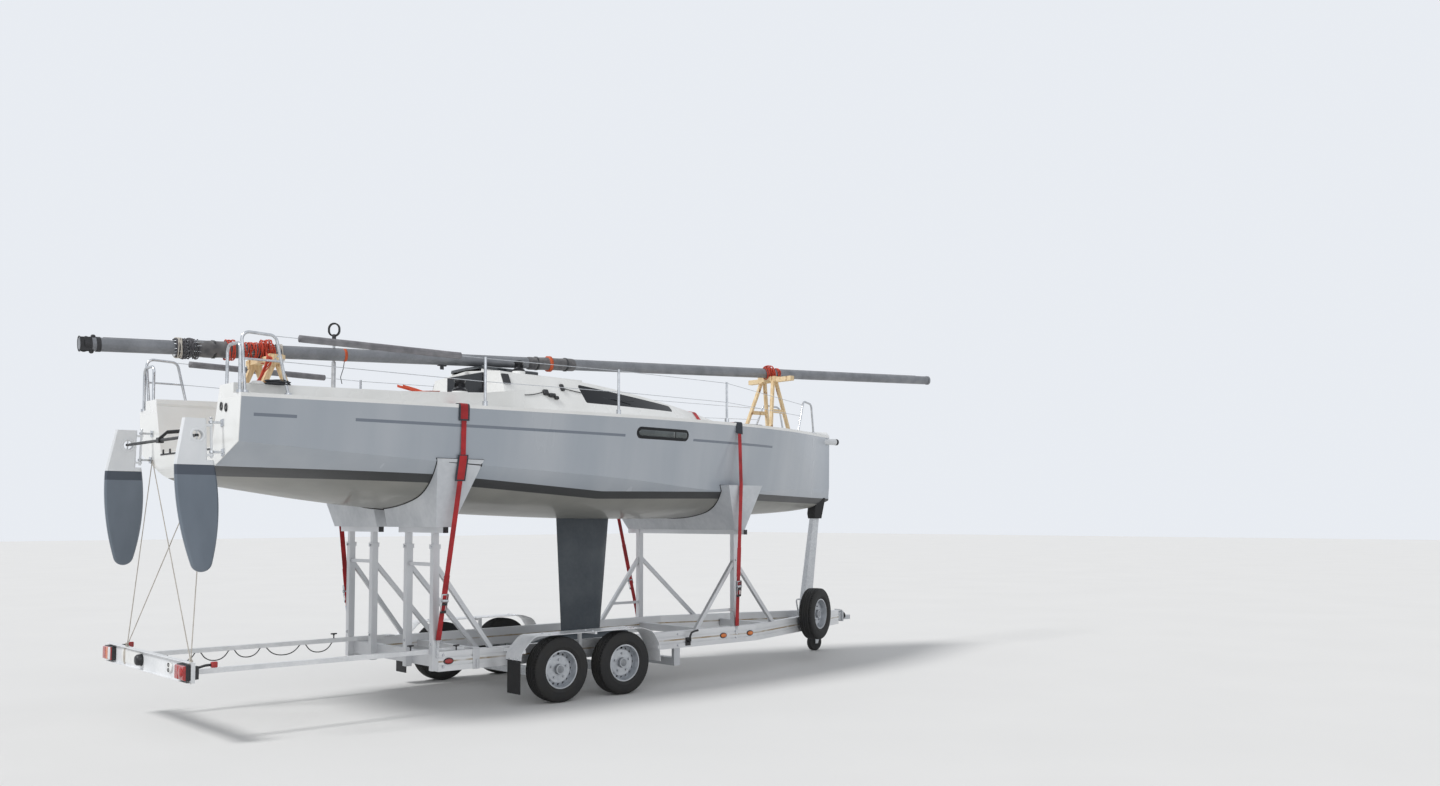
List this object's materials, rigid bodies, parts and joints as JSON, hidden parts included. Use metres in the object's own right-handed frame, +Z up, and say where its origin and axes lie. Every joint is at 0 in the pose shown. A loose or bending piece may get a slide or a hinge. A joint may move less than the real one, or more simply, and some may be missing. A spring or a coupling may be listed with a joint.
{
  "type": "sailing yacht on road trailer",
  "caption": "Small twin-rudder racing yacht with lifting-type fin and bulb keel, standing on its two-axle road trailer with the mast laid along the deck.",
  "frame": {"origin": "on the ground, on the centreline, midway between the two axles", "axes": "+X towards the bow, +Y to port, +Z up"},
  "size_m": [10.9626, 2.5486, 3.7119],
  "materials": {
    "gelcoat": "glossy",
    "deck_gelcoat": "glossy",
    "window_acrylic": "glossy",
    "clear_hatch": "glossy",
    "fin_paint": "matt",
    "rudder_gelcoat": "glossy",
    "stainless": "polished",
    "black_bar": "satin",
    "winch_metal": "anodised",
    "spar": "satin",
    "wrap": "woven",
    "sprit": "glossy",
    "timber": "sawn",
    "foam": "matt",
    "anodised": "anodised",
    "galvanised": "galvanised",
    "rubber_black": "matt",
    "tyre": "matt",
    "rim": "painted",
    "guard": "satin",
    "pad": "satin",
    "board": "painted",
    "lamp": "moulded",
    "webbing": "woven",
    "lashing": "braided",
    "cable": "matt"
  },
  "bodies": {
    "boat_and_trailer": {"aft_trestle": "timber", "axles": "galvanised", "beam_port": "anodised", "beam_starboard": "anodised", "board_ropes": "lashing", "bow_post": "galvanised", "bow_snubber": "rubber_black", "coupling": "galvanised", "cross_members": "galvanised", "deck": "deck_gelcoat", "foam_tubes": "foam", "fore_trestle": "timber", "front_posts": "galvanised", "hull": "gelcoat", "hull_pads": "pad", "jockey_tube": "galvanised", "keel_bulb": "fin_paint", "keel_fin": "fin_paint", "keel_tray": "galvanised", "lifelines": "stainless", "light_board": "board", "light_cable": "cable", "loop_pole": "stainless", "mast": "spar", "mast_roll": "wrap", "mudflaps": "rubber_black", "mudguards": "guard", "pulpits": "stainless", "pushpits": "stainless", "rear_posts": "galvanised", "rig_bundle": "wrap", "rim_spare": "rim", "rudder_gudgeons": "stainless", "spare_carrier": "galvanised", "stanchions": "stainless", "straps": "webbing", "tail_lamps": "lamp", "tyre_spare": "tyre", "windows": "window_acrylic"},
    "sliding_hatch": {"sliding_hatch": "deck_gelcoat"},
    "fore_hatch": {"fore_hatch": "clear_hatch"},
    "bowsprit": {"bowsprit": "sprit"},
    "rudder_port": {"rudder_port": "rudder_gelcoat"},
    "rudder_starboard": {"rudder_starboard": "rudder_gelcoat"},
    "rudder_link": {"rudder_link": "black_bar"},
    "winch_roof_port": {"winch_roof_port": "winch_metal"},
    "winch_roof_starboard": {"winch_roof_starboard": "winch_metal"},
    "winch_coaming_port": {"winch_coaming_port": "winch_metal"},
    "winch_coaming_starboard": {"winch_coaming_starboard": "winch_metal"},
    "jockey_leg": {"jockey_leg": "galvanised"},
    "jockey_fork": {"jockey_fork": "galvanised"},
    "jockey_wheel": {"jockey_wheel": "rubber_black"},
    "wheel_rear_port": {"tyre_rear_port": "tyre", "rim_rear_port": "rim"},
    "wheel_rear_starboard": {"tyre_rear_starboard": "tyre", "rim_rear_starboard": "rim"},
    "wheel_front_port": {"tyre_front_port": "tyre", "rim_front_port": "rim"},
    "wheel_front_starboard": {"tyre_front_starboard": "tyre", "rim_front_starboard": "rim"}
  },
  "joints": [
    {"name": "wheel_rear_port_spin", "type": "hinge", "parent": "boat_and_trailer", "child": "wheel_rear_port", "pos_m": [-0.373, 1.0645, 0.305], "axis": [0, 1, 0], "continuous": true},
    {"name": "wheel_rear_starboard_spin", "type": "hinge", "parent": "boat_and_trailer", "child": "wheel_rear_starboard", "pos_m": [-0.373, -1.0645, 0.305], "axis": [0, 1, 0], "continuous": true},
    {"name": "wheel_front_port_spin", "type": "hinge", "parent": "boat_and_trailer", "child": "wheel_front_port", "pos_m": [0.373, 1.0645, 0.305], "axis": [0, 1, 0], "continuous": true},
    {"name": "wheel_front_starboard_spin", "type": "hinge", "parent": "boat_and_trailer", "child": "wheel_front_starboard", "pos_m": [0.373, -1.0645, 0.305], "axis": [0, 1, 0], "continuous": true},
    {"name": "rudder_starboard_turn", "type": "hinge", "parent": "boat_and_trailer", "child": "rudder_starboard", "pos_m": [-3.5, -0.852, 2.3], "axis": [0, 0.1045, 0.9945], "range_deg": [-35, 35]},
    {"name": "rudder_port_turn", "type": "hinge", "parent": "boat_and_trailer", "child": "rudder_port", "pos_m": [-3.5, 0.852, 2.3], "axis": [0, -0.1045, 0.9945], "range_deg": [-35.1, 35.1]},
    {"name": "rudder_link_pivot", "type": "hinge", "parent": "rudder_starboard", "child": "rudder_link", "pos_m": [-3.61, -0.84594, 2.35768], "axis": [0, 0.1045, 0.9945], "range_deg": [-35.1, 35.1]},
    {"name": "sliding_hatch_slide", "type": "slide", "parent": "boat_and_trailer", "child": "sliding_hatch", "axis": [0.9998, 0, -0.0192], "range_m": [0, 0.55]},
    {"name": "fore_hatch_lift", "type": "hinge", "parent": "boat_and_trailer", "child": "fore_hatch", "pos_m": [3.211, 0, 2.80804], "axis": [0, 1, 0], "range_deg": [0, 90]},
    {"name": "bowsprit_slide", "type": "slide", "parent": "boat_and_trailer", "child": "bowsprit", "axis": [1, 0, 0], "range_m": [0, 0.8]},
    {"name": "winch_coaming_port_spin", "type": "hinge", "parent": "boat_and_trailer", "child": "winch_coaming_port", "pos_m": [-1.34, 0.9, 2.84], "axis": [0, 0, 1], "continuous": true},
    {"name": "winch_coaming_starboard_spin", "type": "hinge", "parent": "boat_and_trailer", "child": "winch_coaming_starboard", "pos_m": [-1.34, -0.9, 2.84], "axis": [0, 0, 1], "continuous": true},
    {"name": "winch_roof_port_spin", "type": "hinge", "parent": "boat_and_trailer", "child": "winch_roof_port", "pos_m": [-0.42, 0.45, 3.15], "axis": [0, 0, 1], "continuous": true},
    {"name": "winch_roof_starboard_spin", "type": "hinge", "parent": "boat_and_trailer", "child": "winch_roof_starboard", "pos_m": [-0.42, -0.45, 3.15], "axis": [0, 0, 1], "continuous": true},
    {"name": "jockey_leg_slide", "type": "slide", "parent": "boat_and_trailer", "child": "jockey_leg", "axis": [0, 0, 1], "range_m": [0, 0.095]},
    {"name": "jockey_fork_swivel", "type": "hinge", "parent": "jockey_leg", "child": "jockey_fork", "pos_m": [4.6, 0.215, 0.236], "axis": [0, 0, 1], "continuous": true},
    {"name": "jockey_wheel_spin", "type": "hinge", "parent": "jockey_fork", "child": "jockey_wheel", "pos_m": [4.55, 0.215, 0.11], "axis": [0, 1, 0], "continuous": true}
  ],
  "couplings": [
    {"joint": "rudder_port_turn", "follows": "rudder_starboard_turn", "ratio": 1},
    {"joint": "rudder_link_pivot", "follows": "rudder_starboard_turn", "ratio": -1}
  ]
}
